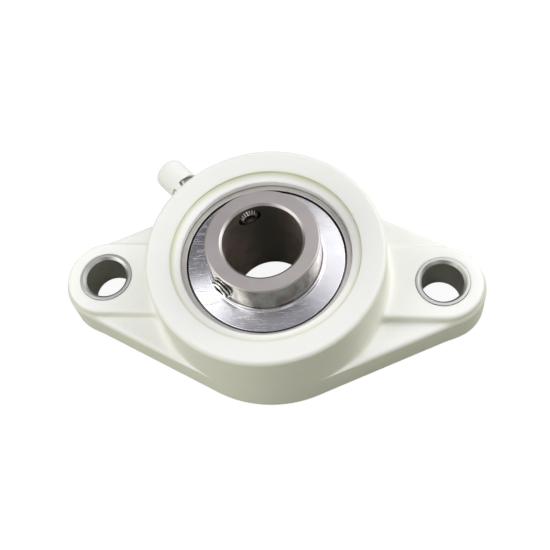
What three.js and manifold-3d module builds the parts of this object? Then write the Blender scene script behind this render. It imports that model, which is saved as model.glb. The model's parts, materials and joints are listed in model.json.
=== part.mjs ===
// Two-bolt flange mount bearing: a moulded plastic flange housing with bolt bushings and a
// grease nipple, and a wide-inner-ring insert bearing that tilts in the housing's spherical seat.
// Millimetres, +Z up. The origin is on the bearing axis, on the mounting face at the back.

import * as THREE from "three";
import { mergeVertices } from "three/addons/utils/BufferGeometryUtils.js";
import Module from "manifold-3d";

const wasm = await Module();
wasm.setup();

// ---------------------------------------------------------------- driving dimensions

// Housing
const OVERALL_LENGTH = 113;
const BOLT_SPACING = 90;
const BOLT_HOLE_RADIUS = 5.5;
const HUB_RADIUS = 31;
const HOUSING_HEIGHT = 27;
const FLANGE_HEIGHT = 10;
const BOLT_BAND_HEIGHT = 12;
const BOLT_BAND_HALF_WIDTH = 10.8;
const BUSHING_WALL = 1.45;
const BEARING_CENTRE_Z = 15;

// Insert bearing, size 204
const SHAFT_RADIUS = 10;
const INNER_RING_RADIUS = 14.25;
const INNER_RING_FRONT = 18.3;
const INNER_RING_REAR = 12.7;
const OUTER_RING_RADIUS = 23.5;
const OUTER_RING_WIDTH = 17;
const BALL_COUNT = 8;
const BALL_RADIUS = 3.969;
const PITCH_RADIUS = 16.75;
const RACE_CLEARANCE = 0.15;

// Set screws in the collar, M6 by 5.5 long
const SCREW_RADIUS = 2.95;
const SCREW_LENGTH = 5.5;
const SCREW_BELOW_COLLAR_END = 4.5;
const SCREW_ANGLES = [229, 116];
const SCREW_TIP_RADII = [10, 9.25];

// Grease nipple and its cap, on an axis square to the bearing axis
const NIPPLE_ANGLE = 135;
const NIPPLE_HEIGHT = 18;
const NIPPLE_HEX_ACROSS_FLATS = 7;
const CAP_RADIUS = 4.3;
const CAP_BASE = 35;
const CAP_END = 42.3;
const CAP_TAB_TURN = 33;
const CAP_TAB_WIDTH = 1.8;

// Gaps between pieces
const RUNNING_GAP = 0.3;
const SNUG_GAP = 0.15;

// Facets round a full turn
const RING_FACETS = 36;
const HUB_FACETS = 48;
const HOLE_FACETS = 24;
const SMALL_FACETS = 12;

// ---------------------------------------------------------------- worked-out sizes

const BOLT_X = BOLT_SPACING / 2;
const LOBE_RADIUS = (OVERALL_LENGTH - BOLT_SPACING) / 2;
const BUSHING_RADIUS = BOLT_HOLE_RADIUS + BUSHING_WALL;
const OUTER_HALF_WIDTH = OUTER_RING_WIDTH / 2;
const SCREW_HEIGHT = BEARING_CENTRE_Z + INNER_RING_FRONT - SCREW_BELOW_COLLAR_END;
const RACE_RADIUS = BALL_RADIUS * 1.04;

// ---------------------------------------------------------------- helpers

const radians = THREE.MathUtils.degToRad;

/** A closed mesh with shared vertices, and no triangle that has two corners in one place. */
function welded(geometry) {
  const plain = geometry.clone();
  plain.deleteAttribute("normal");
  plain.deleteAttribute("uv");
  const merged = mergeVertices(plain);
  const corners = merged.index.array;
  const kept = [];
  for (let i = 0; i < corners.length; i += 3) {
    const [a, b, c] = [corners[i], corners[i + 1], corners[i + 2]];
    if (a !== b && b !== c && c !== a) kept.push(a, b, c);
  }
  merged.setIndex(kept);
  return merged;
}

/** A three.js geometry as a solid that can be joined and cut. */
function solidOf(geometry) {
  const merged = welded(geometry);
  return new wasm.Manifold(new wasm.Mesh({
    numProp: 3,
    vertProperties: new Float32Array(merged.attributes.position.array),
    triVerts: new Uint32Array(merged.index.array),
  }));
}

/** A solid back as a three.js geometry. */
function geometryOf(solid) {
  const mesh = solid.getMesh();
  const geometry = new THREE.BufferGeometry();
  geometry.setAttribute("position", new THREE.BufferAttribute(mesh.vertProperties, mesh.numProp));
  geometry.setIndex(new THREE.BufferAttribute(mesh.triVerts, 1));
  return geometry;
}

/** Points [x, y] on an arc from one angle to another, in degrees. */
function arcPoints(centreX, centreY, radius, fromDeg, toDeg, steps) {
  const points = [];
  for (let i = 0; i <= steps; i++) {
    const angle = radians(fromDeg + ((toDeg - fromDeg) * i) / steps);
    points.push([centreX + radius * Math.cos(angle), centreY + radius * Math.sin(angle)]);
  }
  return points;
}

/** Turns an outline of [radius, height] points about +Z. The outline closes on itself. */
function turned(outline, facets = RING_FACETS) {
  let area = 0;
  outline.forEach(([r0, z0], i) => {
    const [r1, z1] = outline[(i + 1) % outline.length];
    area += r0 * z1 - r1 * z0;
  });
  const ordered = area > 0 ? outline : [...outline].reverse();
  const points = [...ordered, ordered[0]].map(([r, z]) => new THREE.Vector2(r, z));
  return new THREE.LatheGeometry(points, facets).rotateX(Math.PI / 2);
}

/** A plain cylinder along +Z between two heights. */
function rod(radius, bottom, top, facets = SMALL_FACETS) {
  return turned([[0, bottom], [radius, bottom], [radius, top], [0, top]], facets);
}

/** Carries local +Z to the outward direction at an angle round the bearing axis. */
function outwardPlacement(angleDeg, height) {
  return new THREE.Matrix4()
    .makeTranslation(0, 0, height)
    .multiply(new THREE.Matrix4().makeRotationZ(radians(angleDeg)))
    .multiply(new THREE.Matrix4().makeRotationY(Math.PI / 2));
}

/** An outline of curves, extruded up from z = 0, with its top edge bevelled. */
function plateWithBevelledTop(shape, height, bevel) {
  const below = 2 * bevel;
  const plate = new THREE.ExtrudeGeometry(shape, {
    depth: height + below - 2 * bevel,
    bevelThickness: bevel,
    bevelSize: bevel,
    bevelOffset: -bevel,
    bevelSegments: 1,
    curveSegments: 8,
  }).translate(0, 0, bevel - below);
  const margin = 10;
  const under = new THREE.BoxGeometry(2 * OVERALL_LENGTH, 2 * OVERALL_LENGTH, margin)
    .translate(0, 0, -margin / 2);
  return solidOf(plate).subtract(solidOf(under));
}

const bearing = new THREE.Group();
bearing.name = "flange_mount_bearing";

/** Adds one named piece to a group, in its own material. */
function addPiece(group, name, geometry, look) {
  const mesh = new THREE.Mesh(geometry, new THREE.MeshStandardMaterial(look));
  mesh.name = name;
  group.add(mesh);
  return mesh;
}

// ---------------------------------------------------------------- materials

const IVORY_PLASTIC = { color: 0xf1f2ea, roughness: 0.5, metalness: 0 };
const CAP_PLASTIC = { color: 0xf2f2ef, roughness: 0.45, metalness: 0 };
const BUSHING_STEEL = { color: 0xa3a4a2, roughness: 0.4, metalness: 1 };
const GROUND_STEEL = { color: 0xa9a5a0, roughness: 0.35, metalness: 1 };
const COLLAR_STEEL = { color: 0xb9b2ae, roughness: 0.3, metalness: 1 };
const POLISHED_STEEL = { color: 0xc9c9cf, roughness: 0.15, metalness: 1 };
const BALL_STEEL = { color: 0xd2d3d6, roughness: 0.05, metalness: 1 };
const PRESSED_STEEL = { color: 0x9fa0a0, roughness: 0.45, metalness: 1 };
const SCREW_STEEL = { color: 0x8d8d8c, roughness: 0.35, metalness: 1 };
const NIPPLE_STEEL = { color: 0x9b9b95, roughness: 0.35, metalness: 1 };
const SEAL_RUBBER = { color: 0x26262a, roughness: 0.8, metalness: 0 };

// ---------------------------------------------------------------- housing

const SEAT_RADIUS = OUTER_RING_RADIUS + RUNNING_GAP;
const SEAT_LIP_RADIUS = 21.75;
const SEAT_LIP_DEPTH = 1.5;
const REAR_OPENING_RADIUS = 22.2;
const FRONT_STEP_RADIUS = 24.2;
const FRONT_STEP_DEPTH = 0.6;
const FRONT_STEP_CHAMFER = 0.25;
const HUB_EDGE = 1.3;
const PLATE_EDGE = 1.2;
const GREASE_GROOVE = { low: 2, high: 5, depth: 0.7 };
const GREASE_CHANNEL_RADIUS = 1;
const NIPPLE_THREAD_RADIUS = 3;
const NIPPLE_HOLE_BOTTOM = 26;
const NIPPLE_SPOT_FACE = { radius: 4.7, at: 30.5 };

/** The rhombic flange's outline: hub circle and two bolt lobes, joined by tangent lines. */
function flangeShape() {
  const hubArc = HUB_RADIUS - 0.2;
  const tangent = Math.acos((hubArc - LOBE_RADIUS) / BOLT_X);
  const shape = new THREE.Shape();
  shape.absarc(BOLT_X, 0, LOBE_RADIUS, -tangent, tangent, false);
  shape.absarc(0, 0, hubArc, tangent, Math.PI - tangent, false);
  shape.absarc(-BOLT_X, 0, LOBE_RADIUS, Math.PI - tangent, Math.PI + tangent, false);
  shape.absarc(0, 0, hubArc, Math.PI + tangent, 2 * Math.PI - tangent, false);
  return shape;
}

/** The raised band's outline: straight sides with a round end about each bolt. */
function bandShape() {
  const quarter = Math.PI / 2;
  const shape = new THREE.Shape();
  shape.absarc(BOLT_X, 0, BOLT_BAND_HALF_WIDTH, -quarter, quarter, false);
  shape.absarc(-BOLT_X, 0, BOLT_BAND_HALF_WIDTH, quarter, 3 * quarter, false);
  return shape;
}

/** Angle on the seat sphere, from its equator, where it has a given radius about the axis. */
function seatAngle(radius) {
  return THREE.MathUtils.radToDeg(Math.acos(radius / SEAT_RADIUS));
}

/** Everything that is hollow about the bearing axis, with the spherical seat at its middle. */
function seatHollow() {
  const past = 1;
  const grooveAngle = (offset) => THREE.MathUtils.radToDeg(Math.asin(offset / SEAT_RADIUS));
  const arc = (fromDeg, toDeg, steps) =>
    arcPoints(0, BEARING_CENTRE_Z, SEAT_RADIUS, fromDeg, toDeg, steps);
  const grooveRadius = SEAT_RADIUS + GREASE_GROOVE.depth;
  const stepFloor = HOUSING_HEIGHT - FRONT_STEP_DEPTH;
  return turned([
    [0, -past],
    [REAR_OPENING_RADIUS, -past],
    ...arc(-seatAngle(REAR_OPENING_RADIUS), grooveAngle(GREASE_GROOVE.low), 4),
    [grooveRadius, BEARING_CENTRE_Z + GREASE_GROOVE.low],
    [grooveRadius, BEARING_CENTRE_Z + GREASE_GROOVE.high],
    ...arc(grooveAngle(GREASE_GROOVE.high), seatAngle(SEAT_LIP_RADIUS), 2),
    [SEAT_LIP_RADIUS, HOUSING_HEIGHT - SEAT_LIP_DEPTH],
    [FRONT_STEP_RADIUS, stepFloor],
    [FRONT_STEP_RADIUS, HOUSING_HEIGHT - FRONT_STEP_CHAMFER],
    [FRONT_STEP_RADIUS + FRONT_STEP_CHAMFER, HOUSING_HEIGHT],
    [FRONT_STEP_RADIUS + FRONT_STEP_CHAMFER, HOUSING_HEIGHT + past],
    [0, HOUSING_HEIGHT + past],
  ], HUB_FACETS);
}

/** The pair of slots at the back that let the outer ring in on its side. */
function loadingSlots() {
  const width = OUTER_RING_WIDTH + 0.4;
  const past = 1;
  const depth = BEARING_CENTRE_Z + past;
  return new THREE.BoxGeometry(2 * SEAT_RADIUS, width, depth)
    .translate(0, 0, BEARING_CENTRE_Z - depth / 2);
}

/** The grease nipple's hole, its spot face and the channel on to the seat. */
function nippleHoles() {
  const hole = rod(NIPPLE_THREAD_RADIUS + RUNNING_GAP, NIPPLE_HOLE_BOTTOM, HUB_RADIUS + 2);
  const spotFace = rod(NIPPLE_SPOT_FACE.radius, NIPPLE_SPOT_FACE.at, HUB_RADIUS + 2, HOLE_FACETS);
  const channel = rod(GREASE_CHANNEL_RADIUS, SEAT_RADIUS - 1, NIPPLE_HOLE_BOTTOM + 1);
  const placement = outwardPlacement(NIPPLE_ANGLE, NIPPLE_HEIGHT);
  return solidOf(hole.applyMatrix4(placement))
    .add(solidOf(spotFace.applyMatrix4(placement)))
    .add(solidOf(channel.applyMatrix4(placement)));
}

function housing() {
  const hub = turned([
    [0, 0],
    [HUB_RADIUS, 0],
    ...arcPoints(HUB_RADIUS - HUB_EDGE, HOUSING_HEIGHT - HUB_EDGE, HUB_EDGE, 0, 90, 2),
    [0, HOUSING_HEIGHT],
  ], HUB_FACETS);
  let body = plateWithBevelledTop(flangeShape(), FLANGE_HEIGHT, PLATE_EDGE)
    .add(plateWithBevelledTop(bandShape(), BOLT_BAND_HEIGHT, PLATE_EDGE))
    .add(solidOf(hub))
    .subtract(solidOf(seatHollow()))
    .subtract(solidOf(loadingSlots()))
    .subtract(nippleHoles());
  for (const side of [-1, 1]) {
    const hole = rod(BUSHING_RADIUS + SNUG_GAP, -1, BOLT_BAND_HEIGHT + 1, HOLE_FACETS);
    body = body.subtract(solidOf(hole.translate(side * BOLT_X, 0, 0)));
  }
  return geometryOf(body);
}

/** A plain steel sleeve, chamfered at the top, that takes the bolt's clamping load. */
function boltBushing() {
  const top = BOLT_BAND_HEIGHT + 0.1;
  const chamfer = 0.5;
  return turned([
    [BOLT_HOLE_RADIUS, 0],
    [BUSHING_RADIUS, 0],
    [BUSHING_RADIUS, top],
    [BOLT_HOLE_RADIUS + chamfer, top],
    [BOLT_HOLE_RADIUS, top - chamfer],
  ], HOLE_FACETS);
}

addPiece(bearing, "housing", housing(), IVORY_PLASTIC);
for (const [name, side] of [["bolt_bushing_left", -1], ["bolt_bushing_right", 1]]) {
  addPiece(bearing, name, boltBushing(), BUSHING_STEEL).position.x = side * BOLT_X;
}

// ---------------------------------------------------------------- insert bearing

const insert = new THREE.Group();
insert.position.z = BEARING_CENTRE_Z;
bearing.add(insert);

const OUTER_LAND_RADIUS = 19.3;
const SEAL_SEAT_RADIUS = 20.4;
const SEAL_SEAT_START = 5.25;

/** The outer ring: a sphere outside, a ball groove and two seal seats inside. */
function outerRing() {
  const chamfer = 0.3;
  const face = OUTER_HALF_WIDTH;
  const grooveBottom = PITCH_RADIUS + BALL_RADIUS + RACE_CLEARANCE;
  const grooveCentre = grooveBottom - RACE_RADIUS;
  const grooveEdge = THREE.MathUtils.radToDeg(
    Math.acos((OUTER_LAND_RADIUS - grooveCentre) / RACE_RADIUS));
  const sphereEdge = THREE.MathUtils.radToDeg(Math.asin((face - chamfer) / OUTER_RING_RADIUS));
  const faceRadius = Math.sqrt(OUTER_RING_RADIUS ** 2 - (face - chamfer) ** 2) - chamfer;
  const ring = solidOf(turned([
    [faceRadius, -face],
    ...arcPoints(0, 0, OUTER_RING_RADIUS, -sphereEdge, sphereEdge, 4),
    [faceRadius, face],
    [SEAL_SEAT_RADIUS, face],
    [SEAL_SEAT_RADIUS, SEAL_SEAT_START],
    [OUTER_LAND_RADIUS, SEAL_SEAT_START],
    ...arcPoints(grooveCentre, 0, RACE_RADIUS, grooveEdge, -grooveEdge, 4),
    [OUTER_LAND_RADIUS, -SEAL_SEAT_START],
    [SEAL_SEAT_RADIUS, -SEAL_SEAT_START],
    [SEAL_SEAT_RADIUS, -face],
  ]));
  const greaseHole = rod(0.6, OUTER_LAND_RADIUS - 1, OUTER_RING_RADIUS + 1, 8)
    .applyMatrix4(outwardPlacement(NIPPLE_ANGLE, 4.2));
  return geometryOf(ring.subtract(solidOf(greaseHole)));
}

/** The inner ring, longer at the front, where its collar takes the two set screws. */
function innerRing() {
  const chamfer = 0.5;
  const grooveBottom = PITCH_RADIUS - BALL_RADIUS - RACE_CLEARANCE;
  const grooveCentre = grooveBottom + RACE_RADIUS;
  const grooveEdge = THREE.MathUtils.radToDeg(
    Math.acos((grooveCentre - INNER_RING_RADIUS) / RACE_RADIUS));
  let ring = solidOf(turned([
    [SHAFT_RADIUS + chamfer, -INNER_RING_REAR],
    [INNER_RING_RADIUS - chamfer, -INNER_RING_REAR],
    [INNER_RING_RADIUS, -INNER_RING_REAR + chamfer],
    ...arcPoints(grooveCentre, 0, RACE_RADIUS, 180 + grooveEdge, 180 - grooveEdge, 4),
    [INNER_RING_RADIUS, INNER_RING_FRONT - chamfer],
    [INNER_RING_RADIUS - chamfer, INNER_RING_FRONT],
    [SHAFT_RADIUS + chamfer, INNER_RING_FRONT],
    [SHAFT_RADIUS, INNER_RING_FRONT - chamfer],
    [SHAFT_RADIUS, -INNER_RING_REAR + chamfer],
  ]));
  for (const angle of SCREW_ANGLES) {
    const hole = rod(SCREW_RADIUS + SNUG_GAP, SHAFT_RADIUS - 2, INNER_RING_RADIUS + 2)
      .applyMatrix4(outwardPlacement(angle, SCREW_HEIGHT - BEARING_CENTRE_Z));
    ring = ring.subtract(solidOf(hole));
  }
  return geometryOf(ring);
}

/** The pressed plate that turns with the inner ring: a sleeve and a dished disc. */
function slinger() {
  const bore = INNER_RING_RADIUS + 0.1;
  const sleeve = bore + 0.5;
  const rim = SEAL_SEAT_RADIUS - 0.35;
  return turned([
    [bore, 7.1],
    [sleeve, 7.1],
    [sleeve, 8.2],
    [rim, 7.75],
    [rim, 8.3],
    [sleeve, 8.8],
    [sleeve, 9.4],
    [bore, 9.4],
  ]);
}

/** The pressed plate, fixed in the outer ring, that carries the seal lip. */
function sealPlate() {
  const rim = SEAL_SEAT_RADIUS - 0.25;
  const curl = rim - 0.55;
  return turned([
    [16.4, 5.95],
    [curl, 5.95],
    [curl, 5.45],
    [rim, 5.45],
    [rim, 7.0],
    [curl, 7.0],
    [curl, 6.5],
    [16.4, 6.5],
  ]);
}

/** The rubber lip that closes the gap between the seal plate and the inner ring. */
function sealLip() {
  return turned([
    [INNER_RING_RADIUS + 0.12, 6.5],
    [15.1, 5.75],
    [16.25, 5.75],
    [16.25, 6.7],
    [15.1, 6.7],
    [INNER_RING_RADIUS + 0.12, 6.9],
  ]);
}

addPiece(insert, "outer_ring", outerRing(), GROUND_STEEL);
addPiece(insert, "inner_ring", innerRing(), COLLAR_STEEL);
const ENDS = [["front", 0], ["rear", Math.PI]];
for (const [end, turn] of ENDS) {
  addPiece(insert, `slinger_${end}`, slinger(), POLISHED_STEEL).rotation.x = turn;
  addPiece(insert, `seal_plate_${end}`, sealPlate(), PRESSED_STEEL).rotation.x = turn;
  addPiece(insert, `seal_lip_${end}`, sealLip(), SEAL_RUBBER).rotation.x = turn;
}

// ---------------------------------------------------------------- balls and cage

const CAGE = { inner: 15.2, outer: 18.3, gap: 0.15, thickness: 0.5, pocketGap: 0.23 };
const RIVET_RADIUS = 0.5;
const RIVET_HEAD_RADIUS = 1;
const BALL_STEP = 360 / BALL_COUNT;

/** A sphere like a ball's, at a ball's place in the ring. */
function ballPlaceSphere(radius, index) {
  return new THREE.SphereGeometry(radius, 10, 6)
    .rotateX(Math.PI / 2)
    .translate(PITCH_RADIUS, 0, 0)
    .rotateZ(radians(index * BALL_STEP));
}

/** One pressed half of the ribbon cage: flats between the balls and a bowl over each. */
function cageHalf() {
  const pocket = BALL_RADIUS + CAGE.pocketGap;
  const bowl = pocket + CAGE.thickness;
  const ringBand = (bottom, top) => solidOf(turned([
    [CAGE.inner, bottom],
    [CAGE.outer, bottom],
    [CAGE.outer, top],
    [CAGE.inner, top],
  ], 3 * BALL_COUNT));
  let half = ringBand(CAGE.gap, CAGE.gap + CAGE.thickness);
  for (let i = 0; i < BALL_COUNT; i++) half = half.add(solidOf(ballPlaceSphere(bowl, i)));
  half = half.intersect(ringBand(CAGE.gap, bowl + 1));
  for (let i = 0; i < BALL_COUNT; i++) {
    half = half.subtract(solidOf(ballPlaceSphere(pocket, i)));
    const rivetHole = rod(RIVET_RADIUS + SNUG_GAP, -1, 2, 8)
      .translate(PITCH_RADIUS, 0, 0)
      .rotateZ(radians((i + 0.5) * BALL_STEP));
    half = half.subtract(solidOf(rivetHole));
  }
  return geometryOf(half);
}

/** A rivet with a head on the far side of each cage half. */
function cageRivet() {
  const headBottom = CAGE.gap + CAGE.thickness + 0.05;
  const headTop = headBottom + 0.4;
  return turned([
    [0, -headTop],
    [RIVET_HEAD_RADIUS, -headTop],
    [RIVET_HEAD_RADIUS, -headBottom],
    [RIVET_RADIUS, -headBottom],
    [RIVET_RADIUS, headBottom],
    [RIVET_HEAD_RADIUS, headBottom],
    [RIVET_HEAD_RADIUS, headTop],
    [0, headTop],
  ], 6);
}

for (const [end, turn] of ENDS) {
  addPiece(insert, `cage_half_${end}`, cageHalf(), PRESSED_STEEL).rotation.x = turn;
}
for (let i = 0; i < BALL_COUNT; i++) {
  addPiece(insert, `ball_${i + 1}`, ballPlaceSphere(BALL_RADIUS, i), BALL_STEEL);
  const angle = radians((i + 0.5) * BALL_STEP);
  const rivet = addPiece(insert, `cage_rivet_${i + 1}`, cageRivet(), PRESSED_STEEL);
  rivet.position.set(PITCH_RADIUS * Math.cos(angle), PITCH_RADIUS * Math.sin(angle), 0);
  rivet.rotation.z = angle;
}

// ---------------------------------------------------------------- set screws

/** A socket set screw along +Z: a cup point at the bottom and a hexagon socket at the top. */
function setScrew() {
  const cupRadius = 1.9;
  const cupDepth = 0.7;
  const pointHeight = 0.8;
  const socketDepth = 2.8;
  const socketRadius = 1.5 / Math.cos(Math.PI / 6);
  const body = turned([
    [0, cupDepth],
    [cupRadius - 0.4, 0],
    [cupRadius, 0],
    [SCREW_RADIUS, pointHeight],
    [SCREW_RADIUS, SCREW_LENGTH - 0.4],
    [SCREW_RADIUS - 0.4, SCREW_LENGTH],
    [0, SCREW_LENGTH],
  ], SMALL_FACETS);
  const socket = rod(socketRadius, SCREW_LENGTH - socketDepth, SCREW_LENGTH + 1, 6);
  return geometryOf(solidOf(body).subtract(solidOf(socket)));
}

SCREW_ANGLES.forEach((angle, i) => {
  const screw = addPiece(bearing, `set_screw_${i + 1}`, setScrew(), SCREW_STEEL);
  screw.applyMatrix4(outwardPlacement(angle, SCREW_HEIGHT));
  screw.translateZ(SCREW_TIP_RADII[i]);
});

// ---------------------------------------------------------------- grease nipple

const nippleAxis = new THREE.Group();
nippleAxis.applyMatrix4(outwardPlacement(NIPPLE_ANGLE, NIPPLE_HEIGHT));
bearing.add(nippleAxis);

// Distances out from the bearing axis, along the nipple
const NIPPLE = { shank: 26.4, hex: 30.7, neck: 34.6, head: 36, tip: 40.2 };
const VALVE_CHAMBER = { radius: 1.45, from: 33.5, to: 39.4 };
const VALVE_BALL_RADIUS = 1.15;
const VALVE_BALL_AT = 38.2;
const SPRING = { radius: 0.95, wire: 0.16, from: 33.8, to: 36.7, turns: 5 };
const TAB_TURN_FROM_X = radians(180 - CAP_TAB_TURN);

/** The nipple: threaded shank, hexagon, neck and head, with the valve chamber inside. */
function greaseNipple() {
  const outside = turned([
    [0, NIPPLE.shank],
    [2.5, NIPPLE.shank],
    [NIPPLE_THREAD_RADIUS, NIPPLE.shank + 0.5],
    [NIPPLE_THREAD_RADIUS, NIPPLE.hex + 0.2],
    [2.3, NIPPLE.neck - 0.2],
    [2.3, NIPPLE.neck + 1],
    [3.25, NIPPLE.head],
    [3.25, NIPPLE.head + 1.3],
    [2, NIPPLE.tip],
    [0, NIPPLE.tip],
  ]);
  const hexRadius = NIPPLE_HEX_ACROSS_FLATS / 2 / Math.cos(Math.PI / 6);
  const hexagon = rod(hexRadius, NIPPLE.hex, NIPPLE.neck, 6)
    .rotateZ(TAB_TURN_FROM_X);
  const duct = rod(0.8, NIPPLE.shank - 1, NIPPLE.tip + 1, 12);
  const chamber = rod(VALVE_CHAMBER.radius, VALVE_CHAMBER.from, VALVE_CHAMBER.to, 12);
  return geometryOf(solidOf(outside)
    .add(solidOf(hexagon))
    .subtract(solidOf(duct))
    .subtract(solidOf(chamber)));
}

/** The cap: a cup with a rounded end, and a tab that reaches down beside the hexagon. */
function nippleCap() {
  const edge = 2.2;
  const inside = CAP_RADIUS - 0.75;
  const cup = turned([
    [inside, CAP_BASE],
    [CAP_RADIUS, CAP_BASE],
    ...arcPoints(CAP_RADIUS - edge, CAP_END - edge, edge, 0, 90, 3),
    [0, CAP_END],
    [0, CAP_END - 1],
    [inside, CAP_END - 1.6],
  ], 20);
  const tabLength = CAP_BASE - HUB_RADIUS - RUNNING_GAP;
  const tabThickness = 0.6;
  const tab = new THREE.BoxGeometry(tabThickness, CAP_TAB_WIDTH, tabLength + 1)
    .translate(CAP_RADIUS - tabThickness / 2, 0, CAP_BASE - tabLength / 2 + 0.5)
    .rotateZ(TAB_TURN_FROM_X);
  return geometryOf(solidOf(cup).add(solidOf(tab)));
}

/** The valve spring: a round wire on a helix. */
function valveSpring() {
  class Helix extends THREE.Curve {
    getPoint(t, target = new THREE.Vector3()) {
      const angle = t * SPRING.turns * 2 * Math.PI;
      const height = THREE.MathUtils.lerp(SPRING.from, SPRING.to, t);
      return target.set(SPRING.radius * Math.cos(angle), SPRING.radius * Math.sin(angle), height);
    }
  }
  const section = new THREE.Shape();
  section.absarc(0, 0, SPRING.wire, 0, 2 * Math.PI, false);
  return new THREE.ExtrudeGeometry(section, {
    extrudePath: new Helix(),
    steps: SPRING.turns * 8,
    curveSegments: 2,
  });
}

addPiece(nippleAxis, "grease_nipple", greaseNipple(), NIPPLE_STEEL);
addPiece(nippleAxis, "nipple_cap", nippleCap(), CAP_PLASTIC);
addPiece(nippleAxis, "nipple_spring", valveSpring(), NIPPLE_STEEL);
const checkBall = new THREE.SphereGeometry(VALVE_BALL_RADIUS, 10, 6);
addPiece(nippleAxis, "nipple_check_ball", checkBall, BALL_STEEL).position.z = VALVE_BALL_AT;

export default bearing;
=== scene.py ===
"""Looks of the two-bolt flange mount bearing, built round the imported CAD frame.

Mesh code works in millimetres on the frame's axes: the bearing axis is Z, the bolts lie along X,
and z = 0 is the mounting face. make_object() turns millimetres into Blender's metres.
"""

import json
import math

import bmesh
import bpy
import numpy as np
from mathutils import Matrix, Vector


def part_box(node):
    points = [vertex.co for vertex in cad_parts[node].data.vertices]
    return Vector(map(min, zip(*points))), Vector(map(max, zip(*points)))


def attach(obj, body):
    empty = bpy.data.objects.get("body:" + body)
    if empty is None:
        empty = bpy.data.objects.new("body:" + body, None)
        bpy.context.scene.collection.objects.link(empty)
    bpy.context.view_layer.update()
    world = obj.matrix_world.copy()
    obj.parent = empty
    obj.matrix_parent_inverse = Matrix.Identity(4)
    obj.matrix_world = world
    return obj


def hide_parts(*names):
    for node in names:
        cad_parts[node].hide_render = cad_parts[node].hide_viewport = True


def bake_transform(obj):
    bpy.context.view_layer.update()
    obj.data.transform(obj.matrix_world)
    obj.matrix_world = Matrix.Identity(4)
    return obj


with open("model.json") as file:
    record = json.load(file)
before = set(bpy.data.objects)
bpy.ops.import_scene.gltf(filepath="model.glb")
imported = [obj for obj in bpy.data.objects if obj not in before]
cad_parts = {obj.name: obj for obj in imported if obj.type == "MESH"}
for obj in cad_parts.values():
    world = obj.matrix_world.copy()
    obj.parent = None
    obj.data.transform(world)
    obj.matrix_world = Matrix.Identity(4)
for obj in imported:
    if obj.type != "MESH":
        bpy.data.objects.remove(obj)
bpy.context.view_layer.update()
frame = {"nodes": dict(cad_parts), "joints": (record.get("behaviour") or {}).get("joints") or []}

MM = 0.001
TURN = 2 * math.pi


# -------- sizes, read from the frame

def box_mm(node):
    """Lowest and highest corner of a CAD node, in millimetres."""
    low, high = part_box(node)
    return np.array(low) / MM, np.array(high) / MM


def middle_mm(node):
    low, high = box_mm(node)
    return (low + high) / 2


def half_height_mm(node):
    """The radius of a ball, or of a round piece that lies on its side."""
    low, high = box_mm(node)
    return (high[2] - low[2]) / 2


HOUSING_HIGH = box_mm("housing")[1]
HUB_RADIUS = HOUSING_HIGH[1]
HUB_TOP = HOUSING_HIGH[2]
BUSHING_LOW, BUSHING_HIGH = box_mm("bolt_bushing_right")
BOLT_X = (BUSHING_LOW[0] + BUSHING_HIGH[0]) / 2
BUSHING_RADIUS = (BUSHING_HIGH[0] - BUSHING_LOW[0]) / 2
BUSHING_TOP = BUSHING_HIGH[2]
LOBE_RADIUS = HOUSING_HIGH[0] - BOLT_X
CENTRE_Z = middle_mm("outer_ring")[2]
OUTER_RING_HIGH = box_mm("outer_ring")[1]
OUTER_RING_RADIUS = OUTER_RING_HIGH[0]
OUTER_HALF_WIDTH = OUTER_RING_HIGH[2] - CENTRE_Z
INNER_RING_LOW, INNER_RING_HIGH = box_mm("inner_ring")
INNER_RING_RADIUS = INNER_RING_HIGH[0]
INNER_FRONT = INNER_RING_HIGH[2] - CENTRE_Z
INNER_REAR = CENTRE_Z - INNER_RING_LOW[2]
SLINGER_HIGH = box_mm("slinger_front")[1]
SLINGER_RADIUS = SLINGER_HIGH[0]
SLINGER_TOP = SLINGER_HIGH[2] - CENTRE_Z
PITCH_RADIUS = middle_mm("ball_1")[0]
BALL_RADIUS = half_height_mm("ball_1")
BALL_COUNT = sum(name.startswith("ball_") for name in frame["nodes"])
JOINTS = {joint["name"]: joint for joint in frame["joints"]}

# Sizes that the frame's boxes don't give
SHAFT_RADIUS = 10.0
BOLT_HOLE_RADIUS = 5.5
FLANGE_TOP = 10.0
BAND_TOP = BUSHING_TOP - 0.1
BAND_HALF_WIDTH = 10.8
SEAT_RADIUS = OUTER_RING_RADIUS + 0.03
SEAT_LIP_RADIUS = 21.75
SEAT_LIP_TOP = HUB_TOP - 1.5
STEP_RADIUS = 24.05
STEP_FLOOR = HUB_TOP - 0.45
REAR_OPENING = 22.2
HUB_RIM_RISE = 0.8
SEAL_SEAT_RADIUS = SLINGER_RADIUS + 0.35
SEAL_SEAT_START = 5.25

# How far the housing's walls lean in per millimetre of height, and the sizes of its rounded
# edges and fillets
FLANGE_DRAFT, HUB_DRAFT, BAND_DRAFT = 0.012, 0.0204, 0.05
FLANGE_EDGE, HUB_EDGE, BAND_EDGE, BASE_EDGE = 1.2, 1.2, 1.1, 0.8
HUB_FILLET, BAND_FILLET, SHARP = 2.65, 1.2, 0.05


# -------- mesh helpers

def add_object(name, data):
    obj = bpy.data.objects.new(name, data)
    bpy.context.scene.collection.objects.link(obj)
    return obj


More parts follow.
